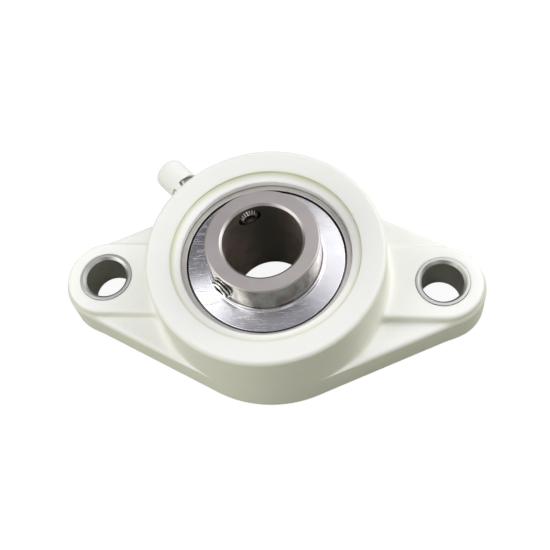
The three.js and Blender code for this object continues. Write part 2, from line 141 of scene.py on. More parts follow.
def make_object(name, points, faces, materials, face_slots=None, sharp_deg=38):
    """A smooth-shaded mesh object from points in millimetres, with its faces turned outward."""
    mesh = bpy.data.meshes.new(name)
    mesh.from_pydata((np.asarray(points, float) * MM).tolist(), [], faces)
    for material in materials:
        mesh.materials.append(material)
    if face_slots is not None:
        mesh.polygons.foreach_set("material_index", np.asarray(face_slots, np.int32))
    mesh.polygons.foreach_set("use_smooth", np.ones(len(mesh.polygons), bool))
    tidy = bmesh.new()
    tidy.from_mesh(mesh)
    bmesh.ops.recalc_face_normals(tidy, faces=tidy.faces)
    if tidy.calc_volume(signed=True) < 0:
        bmesh.ops.reverse_faces(tidy, faces=tidy.faces)
    tidy.to_mesh(mesh)
    tidy.free()
    mesh.set_sharp_from_angle(angle=math.radians(sharp_deg))
    return add_object(name, mesh)


def round_angles(segments):
    return np.linspace(0, TURN, segments, endpoint=False)


def ring_points(angles, radius, height):
    """A ring of points about Z. Its radius and height may change from angle to angle."""
    x, y = radius * np.cos(angles), radius * np.sin(angles)
    return np.stack([x, y, np.broadcast_to(height, angles.shape)], axis=1)


def skin(rings, closes_on_itself):
    """Points and faces of a surface through rings of points, each ring a closed loop.

    It closes on itself like a torus, or ends in a fan at the middle of its first and last ring."""
    rings = np.asarray(rings, float)
    ring_count, across = rings.shape[:2]
    points = rings.reshape(-1, 3)
    faces = []
    for i in range(ring_count if closes_on_itself else ring_count - 1):
        here = i * across
        there = ((i + 1) % ring_count) * across
        for k in range(across):
            nxt = (k + 1) % across
            faces.append((here + k, here + nxt, there + nxt, there + k))
    if not closes_on_itself:
        for i in (0, ring_count - 1):
            hub = len(points)
            points = np.vstack([points, rings[i].mean(axis=0)])
            here = i * across
            faces += [(here + k, here + (k + 1) % across, hub) for k in range(across)]
    return points, faces


def rounded(outline, radius=0.15, steps=4):
    """The closed outline with an arc at each corner. A point's third value is its own radius."""
    result = []
    for i, corner in enumerate(outline):
        here = Vector(corner[:2])
        back = Vector(outline[i - 1][:2]) - here
        ahead = Vector(outline[(i + 1) % len(outline)][:2]) - here
        want = corner[2] if len(corner) > 2 else radius
        opening = back.angle(ahead)
        if want <= 0 or opening > math.radians(172):
            result.append(tuple(here))
            continue
        reach = min(want / math.tan(opening / 2), 0.45 * back.length, 0.45 * ahead.length)
        start = here + back.normalized() * reach
        end = here + ahead.normalized() * reach
        for k in range(steps + 1):
            t = k / steps
            result.append(tuple((1 - t) ** 2 * start + 2 * t * (1 - t) * here + t * t * end))
    return result


def arc(centre_r, centre_z, radius, from_deg, to_deg, steps):
    """Outline points on an arc, each with no corner rounding of its own."""
    angles = np.radians(np.linspace(from_deg, to_deg, steps + 1))
    return [(centre_r + radius * math.cos(a), centre_z + radius * math.sin(a), 0) for a in angles]


def revolve(name, outline, materials, segments=160, slot_of=None, centre=(0, 0, 0), flip=False):
    """A closed outline of (radius, height) points turned round Z, as one closed ring or body.

    slot_of(radius, height, next radius, next height) picks the material of each band of faces
    of a ring. flip turns the piece end for end about its centre."""
    angles = round_angles(segments)
    on_axis = [i for i, point in enumerate(outline) if point[0] < 1e-6]
    if on_axis:
        start = on_axis[-1] + 1
        outline = [p for p in outline[start:] + outline[:start] if p[0] > 1e-6]
    sign = -1 if flip else 1
    rings = [ring_points(angles, radius, sign * height) + centre for radius, height in outline]
    points, faces = skin(rings, not on_axis)
    slots = None
    if slot_of:
        bands = zip(outline, outline[1:] + outline[:1])
        slots = np.repeat([slot_of(*here, *ahead) for here, ahead in bands], segments)
    return make_object(name, points, faces, materials, slots)


def weigh_normals(obj):
    """Keeps flat faces flat between small rounded edges."""
    modifier = obj.modifiers.new("flat faces", "WEIGHTED_NORMAL")
    modifier.keep_sharp = True
    modifier.weight = 60


def place(obj, body, slot, node):
    """Attaches the piece to what it rides on and hides the CAD node that it stands for; the slot
    argument is not used.
    """
    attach(obj, body)
    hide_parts(node)


def outward_placement(angle, height):
    """Carries local +Z to the outward direction at an angle round the bearing axis, in metres."""
    return (Matrix.Translation((0, 0, height * MM)) @ Matrix.Rotation(angle, 4, "Z")
            @ Matrix.Rotation(math.pi / 2, 4, "Y"))


# -------- shader helpers

class Nodes:
    """A node tree, with short ways to add the nodes that the looks and the light use."""

    def __init__(self, tree):
        self.tree = tree

    def node(self, kind, inputs=(), **settings):
        made = self.tree.nodes.new("ShaderNode" + kind)
        for key, value in settings.items():
            setattr(made, key, value)
        for key, value in dict(inputs).items():
            if isinstance(value, bpy.types.NodeSocket):
                self.tree.links.new(value, made.inputs[key])
            else:
                made.inputs[key].default_value = value
        return made

    def math(self, operation, *values, clamp=False):
        made = self.node("Math", enumerate(values), operation=operation, use_clamp=clamp)
        return made.outputs[0]

    def product(self, first, *others):
        for other in others:
            first = self.math("MULTIPLY", first, other)
        return first

    def band(self, value, low, high, to_low=0.0, to_high=1.0):
        """Carries low..high of a value to to_low..to_high, held at both ends."""
        inputs = {"Value": value, "From Min": low, "From Max": high, "To Min": to_low,
                  "To Max": to_high}
        return self.node("MapRange", inputs, interpolation_type="SMOOTHSTEP").outputs["Result"]

    def show(self, output, to_camera, to_light):
        """Shows one shader node to the camera, and another to all other rays."""
        seen = self.node("LightPath").outputs["Is Camera Ray"]
        pick = self.node("MixShader", {0: seen, 1: to_light.outputs[0], 2: to_camera.outputs[0]})
        self.tree.links.new(pick.outputs[0], self.tree.nodes[output].inputs["Surface"])


class Shader(Nodes):
    """The node tree of a material, round its Principled BSDF."""

    def __init__(self, name, **settings):
        self.material = bpy.data.materials.new(name)
        self.material.use_nodes = True
        super().__init__(self.material.node_tree)
        self.surface = self.tree.nodes["Principled BSDF"]
        for socket, value in settings.items():
            self.surface.inputs[socket.replace("_", " ")].default_value = value

    def put(self, socket, value):
        self.tree.links.new(value, self.surface.inputs[socket])

    def coordinates(self):
        """Object coordinates: metres, in the piece's own frame."""
        return self.node("TexCoord").outputs["Object"]

    def noise(self, scale, where=None, detail=3.0, roughness=0.5):
        inputs = {"Vector": where or self.coordinates(), "Scale": scale, "Detail": detail,
                  "Roughness": roughness}
        return self.node("TexNoise", inputs).outputs["Fac"]

    def blend(self, amount, first, second):
        """A colour between two colours."""
        made = self.node("Mix", data_type="RGBA")
        for key, value in (("Factor", amount), ("A", first), ("B", second)):
            socket = [s for s in made.inputs if s.name == key and s.enabled][0]
            if isinstance(value, bpy.types.NodeSocket):
                self.tree.links.new(value, socket)
            else:
                socket.default_value = value if key == "Factor" else (*value[:3], 1)
        return [s for s in made.outputs if s.enabled][0]

    def round_axis(self):
        """Distance from the Z axis, angle round it in radians, and height."""
        split = self.node("SeparateXYZ", {0: self.coordinates()})
        x, y, z = split.outputs
        squares = self.math("ADD", self.product(x, x), self.product(y, y))
        radius = self.math("SQRT", squares)
        return radius, self.math("ARCTAN2", y, x), z

    def turned_coordinates(self):
        """A vector that changes fast across turning lines and slowly along them."""
        radius, angle, height = self.round_axis()
        lengthwise = self.product(angle, 12 * MM)
        return self.node("CombineXYZ", {0: radius, 1: lengthwise, 2: height}).outputs[0]

    def bump(self, height, strength, distance, below=None):
        inputs = {"Height": height, "Strength": strength, "Distance": distance}
        if below is not None:
            inputs["Normal"] = below
        return self.node("Bump", inputs).outputs["Normal"]


def housing_plastic():
    """Moulded thermoplastic: off-white and satin. It is paler where it faces up: painted light on
    the tops. Painted light also makes it paler on the flange, where the hub shades it, and in the
    hub's recess, most at its sides, and palest by the seat's lip, which lies in shade. A faint
    yellow-green line along the recess's step is painted shade with a hue that stands for the
    plastic's translucency, strongest toward the back, and the step's inner corner is darkened with
    painted shade."""
    s = Shader("ivory_plastic", Roughness=0.5, Subsurface_Weight=0.3, Subsurface_Scale=2 * MM,
               Subsurface_Radius=(1.0, 1.0, 0.85))
    warm, cool, pale = (0.84, 0.845, 0.745), (0.82, 0.825, 0.74), (0.85, 0.85, 0.83)
    # Paler colours: painted light for the shaded flange, recess and seat's lip
    painted_light_paler, painted_light_palest = (0.99, 0.99, 0.955), (1.0, 1.0, 0.985)
    # A yellow-green line colour, painted shade with the plastic's translucent hue, and a darker
    # colour, painted shade for the step's corner
    painted_tint, painted_corner_shade = (0.72, 0.75, 0.52), (0.56, 0.57, 0.38)
    radius, angle, height = s.round_axis()

    def within(value, full, gone):
        """One up to a size in millimetres, fading to nothing at another."""
        return s.band(value, full * MM, gone * MM, 1.0, 0.0)

    normal = s.node("NewGeometry").outputs["Normal"]
    # The tops are painted paler: painted light
    facing_up = s.band(s.node("SeparateXYZ", {0: normal}).outputs[2], 0.55, 0.95)
    sideways = s.math("ABSOLUTE", s.math("COSINE", angle))
    # Painted light: paler on the flange, in the recess (most at its sides) and on the seat's lip
    # wall, which lie in shade
    on_flange = s.product(facing_up, within(height, BAND_TOP + 0.5, BAND_TOP + 4.5))
    in_recess = s.product(facing_up, within(radius, STEP_RADIUS - 0.35, STEP_RADIUS + 0.05),
                          s.band(sideways, 0.3, 0.9, 0.35, 1.0))
    over_seat = s.band(height, (HUB_TOP - 5.5) * MM, (HUB_TOP - 4.5) * MM)
    at_seat = s.product(within(radius, SEAT_LIP_RADIUS + 0.65, SEAT_LIP_RADIUS + 1.25), over_seat)

    # Painted shade: a yellow-green line along the recess's step, strongest toward the back
    high_up = s.band(height, (HUB_TOP - 2.5) * MM, (HUB_TOP - 1) * MM)
    off_step = s.math("ABSOLUTE", s.math("SUBTRACT", radius, (STEP_RADIUS - 0.25) * MM))
    to_the_back = s.math("COSINE", s.math("SUBTRACT", angle, math.radians(110)))
    patches = s.band(s.noise(45, detail=2), 0.35, 0.7, 0.4, 0.9)
    at_step = s.product(within(off_step, 0.2, 1.1), high_up, patches,
                        s.band(to_the_back, -0.2, 0.9, 0.35, 1.0))
    # Painted shade in the step's inner corner
    in_corner = s.product(within(off_step, 0.1, 0.5), high_up, 0.3)

    tone = s.blend(s.band(s.noise(90, detail=4), 0.35, 0.65), warm, cool)
    tone = s.blend(facing_up, tone, pale)
    tone = s.blend(s.math("ADD", on_flange, in_recess, clamp=True), tone, painted_light_paler)
    tone = s.blend(at_seat, tone, painted_light_palest)
    tone = s.blend(at_step, tone, painted_tint)
    s.put("Base Color", s.blend(in_corner, tone, painted_corner_shade))
    s.put("Roughness", s.band(s.noise(600, detail=5), 0.3, 0.7, 0.42, 0.56))
    grain = s.bump(s.noise(4200, detail=4), 0.12, 0.06 * MM)
    s.put("Normal", s.bump(s.noise(160, detail=2), 0.12, 0.4 * MM, below=grain))
    return s.material


def cap_plastic():
    """Soft moulded plastic of the nipple's cap, a little glossier than the housing."""
    s = Shader("cap_plastic", Roughness=0.42)
    s.put("Base Color", s.blend(s.noise(220, detail=3), (0.88, 0.885, 0.865), (0.83, 0.835, 0.815)))
    s.put("Roughness", s.band(s.noise(900, detail=4), 0.3, 0.7, 0.36, 0.5))
    s.put("Normal", s.bump(s.noise(2600, detail=3), 0.1, 0.05 * MM))
    return s.material


TURNING_DEPTH = 0.03 * MM


def steel(name, light, dark, roughness, lines=0.15, anisotropy=0.0, scratches=0.0, spread=0.08,
          line_scale=9000):
    """Steel with turning lines round the piece's axis and, if asked for, straight scratches."""
    s = Shader(name, Metallic=1.0, Anisotropic=anisotropy)
    line = s.noise(line_scale, s.turned_coordinates(), detail=3, roughness=0.65)
    cloud = s.noise(160, detail=3)
    mixed = s.math("MULTIPLY_ADD", line, 0.5, s.product(cloud, 0.5))
    s.put("Base Color", s.blend(s.band(mixed, 0.3, 0.7), dark, light))
    s.put("Roughness", s.band(line, 0.3, 0.7, roughness - spread / 2, roughness + spread / 2))
    normal = s.bump(line, lines, TURNING_DEPTH)
    if scratches:
        stretched = s.node("Mapping", {"Vector": s.coordinates(), "Rotation": (0.3, 0.2, 0.9),
                                       "Scale": (260, 5200, 900)}).outputs[0]
        hair = s.band(s.noise(1.0, stretched, detail=2), 0.62, 0.7)
        normal = s.bump(hair, scratches, 0.04 * MM, below=normal)
    s.put("Normal", normal)
    if anisotropy:
        s.surface.inputs["Anisotropic Rotation"].default_value = 0.25
        s.put("Tangent", s.node("Tangent", direction_type="RADIAL", axis="Z").outputs[0])
    return s.material


def collar_side_steel():
    """The collar's turned side: smooth steel with brown and green patches round it, painted
    reflections.
    """
    s = Shader("collar_side_steel", Metallic=1.0)
    _, angle, height = s.round_axis()
    ring = s.node("CombineXYZ", {0: s.math("COSINE", angle), 1: s.math("SINE", angle),
                                 2: s.product(height, 20)}).outputs[0]
    # Painted reflections: dark brown and light green patches round the collar's side
    tone = s.noise(2.6, ring, detail=3)
    painted_tint = s.blend(s.band(tone, 0.40, 0.60), (0.24, 0.20, 0.17), (0.54, 0.545, 0.45))
    line = s.noise(9000, s.turned_coordinates(), detail=3)
    s.put("Base Color", s.blend(s.band(line, 0.3, 0.7, 0, 0.25), painted_tint, (0.52, 0.50, 0.48)))
    s.put("Roughness", s.band(line, 0.3, 0.7, 0.16, 0.26))
    s.put("Normal", s.bump(line, 0.1, TURNING_DEPTH))
    return s.material


def bore_steel():
    """The honed bore: dark, lighter and browner toward its two sides along X: painted light."""
    s = Shader("bore_steel", Metallic=1.0)
    side = s.node("SeparateXYZ", {0: s.coordinates()}).outputs[0]
    # Painted light: the bore's walls at the two sides along X are lighter and browner
    share = s.band(s.math("ABSOLUTE", side), 0.1 * SHAFT_RADIUS * MM, SHAFT_RADIUS * MM)
    painted_side_light = s.product(share, s.band(s.noise(260, detail=4), 0.3, 0.6, 0.6, 1.0))
    line = s.noise(7000, s.turned_coordinates(), detail=3)
    dull = s.blend(s.band(line, 0.3, 0.7), (0.24, 0.245, 0.235), (0.38, 0.38, 0.365))
    s.put("Base Color", s.blend(painted_side_light, dull, (0.80, 0.69, 0.66)))
    s.put("Roughness", s.band(line, 0.3, 0.7, 0.36, 0.48))
    s.put("Normal", s.bump(line, 0.25, TURNING_DEPTH))
    return s.material


def seal_rubber():
    s = Shader("seal_rubber", Roughness=0.75)
    s.put("Base Color", s.blend(s.noise(900, detail=4), (0.018, 0.018, 0.02), (0.035, 0.035, 0.038)))
    s.put("Roughness", s.band(s.noise(700, detail=3), 0.3, 0.7, 0.65, 0.85))
    s.put("Normal", s.bump(s.noise(3800, detail=3), 0.2, 0.06 * MM))
    return s.material


IVORY = housing_plastic()
CAP = cap_plastic()
# Each steel's light and dark tone, and its roughness
GROUND = steel("ground_steel", (0.76, 0.73, 0.70), (0.64, 0.61, 0.59), 0.42, lines=0.25)
COLLAR_END = steel("collar_end_steel", (0.60, 0.55, 0.55), (0.52, 0.475, 0.475), 0.42, lines=0.12)
COLLAR_SIDE = collar_side_steel()
BORE = bore_steel()
SLINGER = steel("polished_steel", (0.80, 0.79, 0.83), (0.70, 0.69, 0.74), 0.20, lines=0.05,
                anisotropy=0.8, scratches=0.3)
BUSHING = steel("bushing_steel", (0.68, 0.68, 0.665), (0.56, 0.56, 0.55), 0.38, lines=0.2)
BALL = steel("ball_steel", (0.78, 0.78, 0.80), (0.72, 0.72, 0.745), 0.07, lines=0.01, spread=0.02)
PRESSED = steel("pressed_steel", (0.56, 0.56, 0.55), (0.42, 0.42, 0.42), 0.42, lines=0.05,
                scratches=0.2)
SCREW = steel("screw_steel", (0.96, 0.95, 0.94), (0.86, 0.85, 0.84), 0.24, lines=0.1)
# Painted shade: near-black steel for the seal seats' gaps and the set screws' grooves, cup and
# socket
PAINTED_SHADE_STEEL = steel("painted_shade_steel", (0.13, 0.12, 0.115), (0.07, 0.065, 0.06), 0.38, lines=0.1)
NIPPLE = steel("nipple_steel", (0.62, 0.62, 0.58), (0.34, 0.34, 0.31), 0.34, lines=0.5,
               line_scale=3000)
RUBBER = seal_rubber()


# -------- housing

def length2(a, b):
    return np.sqrt(a * a + b * b)


def join_softly(a, b, radius):
    """Union of two distance fields with a fillet of about the radius where they meet."""
    h = np.clip(0.5 + 0.5 * (b - a) / radius, 0, 1)
    return b * (1 - h) + a * h - radius * h * (1 - h)


def cut_softly(a, tool, radius):
    """The first distance field less the tool, with the cut's edge rounded."""
    return -join_softly(-a, tool, radius)


def upright(flat, z, high, edge):
    """A flat outline's distance field made a solid that ends at a height, with a rounded rim."""
    a = flat + edge
    b = z - high + edge
    outside = length2(np.maximum(a, 0), np.maximum(b, 0))
    return outside + np.minimum(np.maximum(a, b), 0) - edge


def rhombus(x, y, hub, lobe):
    """Distance to the outline made by the hub circle, two lobe circles and their tangents."""
    x, y = np.abs(x), np.abs(y)
    lean_x = (hub - lobe) / BOLT_X
    lean_y = math.sqrt(1 - lean_x ** 2)
    along = x * lean_y - y * lean_x
    line = x * lean_x + y * lean_y - hub
    on_hub = length2(x, y) - hub
    on_lobe = length2(x - BOLT_X, y) - lobe
    return np.where(along < 0, on_hub, np.where(along > BOLT_X * lean_y, on_lobe, line))


NIPPLE_AXIS = np.array(JOINTS["nipple_cap_pull"]["axis"])
NIPPLE_ANGLE = math.atan2(NIPPLE_AXIS[1], NIPPLE_AXIS[0])
NIPPLE_Z = middle_mm("grease_nipple")[2]
NIPPLE_HOLE_RADIUS, NIPPLE_HOLE_START = 3.1, 26.0
SPOT_FACE_RADIUS, SPOT_FACE_DEPTH = 4.7, 0.5
GREASE_DUCT_RADIUS = 1.0


def outside_shape(x, y, z):
    """Distance from the housing without its hollows: hub, flange and the band over the bolts.

    The flange's rounded rim and the hub's fillet fade out where the flange runs into the hub's
    wall. The hub's top rises a little toward its rim."""
    height = np.maximum(z, 0)
    radius = length2(x, y)
    outline = rhombus(x, y, HUB_RADIUS, LOBE_RADIUS)
    # Nearly none where the hub's wall and the flange's outline are both close by
    room = np.clip((radius - HUB_RADIUS - outline) / 3, 0, 1)
    outward = np.clip((radius - STEP_RADIUS) / (HUB_RADIUS - 1.5 - STEP_RADIUS), 0, 1)
    hub = upright(radius - HUB_RADIUS + HUB_DRAFT * height, z, HUB_TOP + HUB_RIM_RISE * outward,
                  HUB_EDGE)
    flange = upright(outline + FLANGE_DRAFT * height, z, FLANGE_TOP,
                     SHARP + (FLANGE_EDGE - SHARP) * room)
    past_bolt = np.maximum(np.abs(x) - BOLT_X, 0)
    stadium = length2(past_bolt, y) - BAND_HALF_WIDTH
    band = upright(stadium + BAND_DRAFT * (z - FLANGE_TOP), z, BAND_TOP, BAND_EDGE)
    solid = join_softly(join_softly(flange, band, BAND_FILLET), hub,
                        SHARP + (HUB_FILLET - SHARP) * room)
    return cut_softly(solid, z, BASE_EDGE)


def housing_field(x, y, z):
    """Distance, in millimetres, from the housing's surface: below zero inside the plastic."""
    solid = outside_shape(x, y, z)
    radius = length2(x, y)
    seat = length2(radius, z - CENTRE_Z) - SEAT_RADIUS
    seat = np.maximum(seat, z - SEAT_LIP_TOP)
    lip = np.maximum(radius - SEAT_LIP_RADIUS, CENTRE_Z + 2 - z)
    fall = (STEP_FLOOR - SEAT_LIP_TOP) / (STEP_RADIUS - SEAT_LIP_RADIUS)
    recess_floor = STEP_FLOOR - (STEP_RADIUS - radius) * fall
    recess = np.maximum(radius - STEP_RADIUS, recess_floor - z)
    rear = np.maximum(radius - REAR_OPENING, z - CENTRE_Z)
    slot = np.maximum(np.abs(x) - SEAT_RADIUS, np.abs(y) - OUTER_HALF_WIDTH - 0.2)
    slot = np.maximum(slot, z - CENTRE_Z)
    solid = cut_softly(solid, join_softly(seat, lip, SHARP), 0.75)
    solid = cut_softly(solid, recess, 0.22)
    solid = cut_softly(solid, np.minimum(rear, slot), 0.5)

    bolt = length2(np.abs(x) - BOLT_X, y) - BUSHING_RADIUS - 0.03
    solid = cut_softly(solid, bolt, 0.4)
    out = x * NIPPLE_AXIS[0] + y * NIPPLE_AXIS[1]
    off_axis = length2(x * NIPPLE_AXIS[1] - y * NIPPLE_AXIS[0], z - NIPPLE_Z)
    hole = np.maximum(off_axis - NIPPLE_HOLE_RADIUS, NIPPLE_HOLE_START - out)
    spot_face = np.maximum(off_axis - SPOT_FACE_RADIUS, HUB_RADIUS - SPOT_FACE_DEPTH - out)
    duct = np.maximum(off_axis - GREASE_DUCT_RADIUS, SEAT_RADIUS - 3 - out)
    return cut_softly(solid, np.minimum(np.minimum(hole, spot_face), duct), 0.25)


def spaced(*stretches):
    """Grid lines through stretches of (end, step), from the first number on."""
    start, *rest = stretches
    lines = [np.array([float(start)])]
    for end, step in rest:
        count = max(1, round((end - start) / step))
        lines.append(np.linspace(start, end, count + 1)[1:])
        start = end
    return np.concatenate(lines)


def housing_grid():
    """Angles, radii and heights of a round grid, closer where the housing has small edges."""
    quarter = spaced(0, (18, 0.6), (34.2, 1.8), (55.8, 0.72), (90, 1.8))
    half = np.concatenate([quarter, 180 - quarter[-2::-1]])
    angles = np.radians(np.concatenate([half, 180 + half[1:-1]]))
    radii = spaced(19.6, (25.2, 0.28), (28, 0.7), (31.6, 0.36), (34, 0.5), (57.2, 0.6))
    levels = spaced(-0.5, (1.0, 0.25), (8.2, 0.9), (12.7, 0.3), (22.6, 0.66), (25.0, 0.8),
                    (28.6, 0.2))
    return np.meshgrid(angles, radii, levels, indexing="ij")


def neighbours(values, axis):
    """Grid values and the next ones along an axis. The grid closes on itself round axis 0."""
    if axis == 0:
        return values, np.roll(values, -1, axis=0)
    count = values.shape[axis]
    return np.take(values, range(count - 1), axis), np.take(values, range(1, count), axis)


def cells_about(edges, axis, shape):
    """The four grid cells round each grid edge, in turn, and which of them are in the grid."""
    across = [k for k in range(3) if k != axis]
    for back in ((0, 0), (1, 0), (1, 1), (0, 1)):
        cells = edges.copy()
        cells[:, across] -= back
        cells[:, 0] %= shape[0]
        yield cells, np.all((cells >= 0) & (cells < shape), axis=1)


def housing_shell():
    """The housing's surface, found where its distance field crosses zero on a round grid.

    Each grid cell that the surface passes through gets one point, moved onto the surface, and
    each grid edge that the surface crosses gets one face between the four cells about it."""
    angle, radius, z = housing_grid()
    x, y = radius * np.cos(angle), radius * np.sin(angle)
    field = housing_field(x, y, z)
    inside = field < 0
    corners = np.stack([x, y, z], axis=-1)
    shape = (inside.shape[0], inside.shape[1] - 1, inside.shape[2] - 1)
    total = np.zeros(shape + (3,))
    count = np.zeros(shape)
    crossings = []
    for axis in range(3):
        here, ahead = neighbours(inside, axis)
        crossed = here != ahead
        depth_here, depth_ahead = (part[crossed] for part in neighbours(field, axis))
        start, end = (part[crossed] for part in neighbours(corners, axis))
        spots = start + (depth_here / (depth_here - depth_ahead))[:, None] * (end - start)
        edges = np.argwhere(crossed)
        crossings.append((axis, edges, here[crossed]))
        for cells, good in cells_about(edges, axis, shape):
            index = tuple(cells[good].T)
            np.add.at(total, index, spots[good])
            np.add.at(count, index, 1)

    used = count > 0
    number = np.full(shape, -1)
    number[used] = np.arange(used.sum())
    points = settle(total[used] / count[used][:, None])

    faces = []
    for axis, edges, starts_inside in crossings:
        quads = np.full((len(edges), 4), -1)
        for k, (cells, good) in enumerate(cells_about(edges, axis, shape)):
            quads[good, k] = number[tuple(cells[good].T)]
        backward = starts_inside if axis == 1 else ~starts_inside
        quads[backward] = quads[backward][:, ::-1]
        faces += quads[(quads >= 0).all(axis=1)].tolist()
    return points, faces


def field_slope(points, step=0.02):
    """The distance field and its direction of growth at each point."""
    slope = np.zeros_like(points)
    for axis in range(3):
        shift = np.zeros(3)
        shift[axis] = step
        ahead = housing_field(*(points + shift).T)
        behind = housing_field(*(points - shift).T)
        slope[:, axis] = (ahead - behind) / (2 * step)
    slope /= np.maximum(np.linalg.norm(slope, axis=1, keepdims=True), 1e-6)
    return housing_field(*points.T), slope


def settle(points, rounds=4, longest_move=0.4):
    """Moves each point along the field's slope until it lies on the surface."""
    for _ in range(rounds):
        distance, slope = field_slope(points)
        points = points - np.clip(distance, -longest_move, longest_move)[:, None] * slope
    return points


def build_housing():
    points, faces = housing_shell()
    obj = make_object("housing_shell", points, faces, [IVORY], sharp_deg=180)
    places = np.zeros(len(obj.data.vertices) * 3)
    obj.data.vertices.foreach_get("co", places)
    _, slope = field_slope(places.reshape(-1, 3) / MM, step=0.08)
    obj.data.normals_split_custom_set_from_vertices(slope.tolist())
    place(obj, "housing", "ivory_plastic", "housing")


build_housing()


# -------- bolt bushings

def build_bushing(name, side):
    """A plain turned sleeve with a chamfer at each end of its hole, wider at the top."""
    bottom = 0.02
    wide, narrow = 0.7, 0.3
    outline = rounded([
        (BOLT_HOLE_RADIUS + narrow, bottom), (BUSHING_RADIUS, bottom, 0.2),
        (BUSHING_RADIUS, BUSHING_TOP, 0.1), (BOLT_HOLE_RADIUS + wide, BUSHING_TOP, 0.08),
        (BOLT_HOLE_RADIUS, BUSHING_TOP - wide - 0.05, 0.1), (BOLT_HOLE_RADIUS, bottom + narrow),
    ])
    obj = revolve(name, outline, [BUSHING], segments=128)
    obj.location.x = side * BOLT_X * MM
    weigh_normals(obj)
    place(obj, "housing", "bushing_steel", name.replace("sleeve", "bushing"))


build_bushing("bolt_sleeve_left", -1)
build_bushing("bolt_sleeve_right", 1)


# -------- insert bearing

AT_CENTRE = (0, 0, CENTRE_Z)
ENDS = (("front", False), ("rear", True))
RACE_RADIUS = BALL_RADIUS * 1.04
RACE_GAP = 0.03
OUTER_LAND = 19.3
SCREW_NAMES = ("set_screw_1", "set_screw_2")
SCREW_RADIUS = half_height_mm("set_screw_1")
SCREW_LENGTH = 5.5


def build_outer_ring():
    """Outer ring: ground sphere outside, ball groove and seal seats inside, rounded faces."""
    face = OUTER_HALF_WIDTH
    seal = SEAL_SEAT_START
    chamfer = 0.35
    groove_middle = PITCH_RADIUS + BALL_RADIUS + RACE_GAP - RACE_RADIUS
    groove_edge = math.degrees(math.acos((OUTER_LAND - groove_middle) / RACE_RADIUS))
    sphere_edge = math.degrees(math.asin((face - chamfer) / OUTER_RING_RADIUS))
    face_radius = math.sqrt(OUTER_RING_RADIUS ** 2 - (face - chamfer) ** 2) - 0.3
    outline = rounded([
        (face_radius, -face), *arc(0, 0, OUTER_RING_RADIUS, -sphere_edge, sphere_edge, 24),
        (face_radius, face), (SEAL_SEAT_RADIUS, face, 0.2), (SEAL_SEAT_RADIUS, seal),
        (OUTER_LAND, seal), *arc(groove_middle, 0, RACE_RADIUS, groove_edge, -groove_edge, 20),
        (OUTER_LAND, -seal), (SEAL_SEAT_RADIUS, -seal), (SEAL_SEAT_RADIUS, -face, 0.2),
    ], radius=0.12)

    def slot_of(r0, z0, r1, z1):
        """Dark on the walls of the two seal seats, painted shade for the gaps there, and ground
        elsewhere.
        """
        inner_wall = max(r0, r1) < SEAL_SEAT_RADIUS + 0.15 and abs(z1 - z0) > abs(r1 - r0)
        return 1 if inner_wall and min(abs(z0), abs(z1)) > seal - 0.05 else 0

    obj = revolve("outer_ring_ground", outline, [GROUND, PAINTED_SHADE_STEEL], slot_of=slot_of,
                  centre=AT_CENTRE)
    weigh_normals(obj)
    place(obj, "insert", "ground_steel", "outer_ring")


def screw_hole_cutter(angle, height):
    """A rod with a flared outer end, for a set screw's hole and its countersink."""
    radius = SCREW_RADIUS + 0.04
    flare = radius + 0.35
    start, end = SHAFT_RADIUS - 3, INNER_RING_RADIUS + 3.75
    outline = [(0, start), (radius, start), (radius, INNER_RING_RADIUS - 0.3),
               (flare, INNER_RING_RADIUS + 0.2), (flare, end), (0, end)]
    cutter = revolve("hole_cutter", outline, [COLLAR_SIDE], segments=64)
    cutter.data.transform(outward_placement(angle, height))
    return cutter


def cut_with(obj, cutter):
    """Takes the cutter out of the piece, and takes the cutter away."""
    modifier = obj.modifiers.new("cut", "BOOLEAN")
    modifier.operation = "DIFFERENCE"
    modifier.solver = "EXACT"
    modifier.object = cutter
    bpy.context.view_layer.update()
    evaluated = obj.evaluated_get(bpy.context.evaluated_depsgraph_get())
    mesh = bpy.data.meshes.new_from_object(evaluated)
    obj.modifiers.remove(modifier)
    obj.data = mesh
    bpy.data.objects.remove(cutter)


def screw_place(name):
    """Angle round the bearing axis, height, and distance out of a set screw's tip, in mm."""
    middle = middle_mm(name)
    travel = JOINTS[name + "_travel"]["axis"]
    angle = math.atan2(travel[1], travel[0])
    out = middle[0] * travel[0] + middle[1] * travel[1]
    return angle, middle[2], out - SCREW_LENGTH / 2


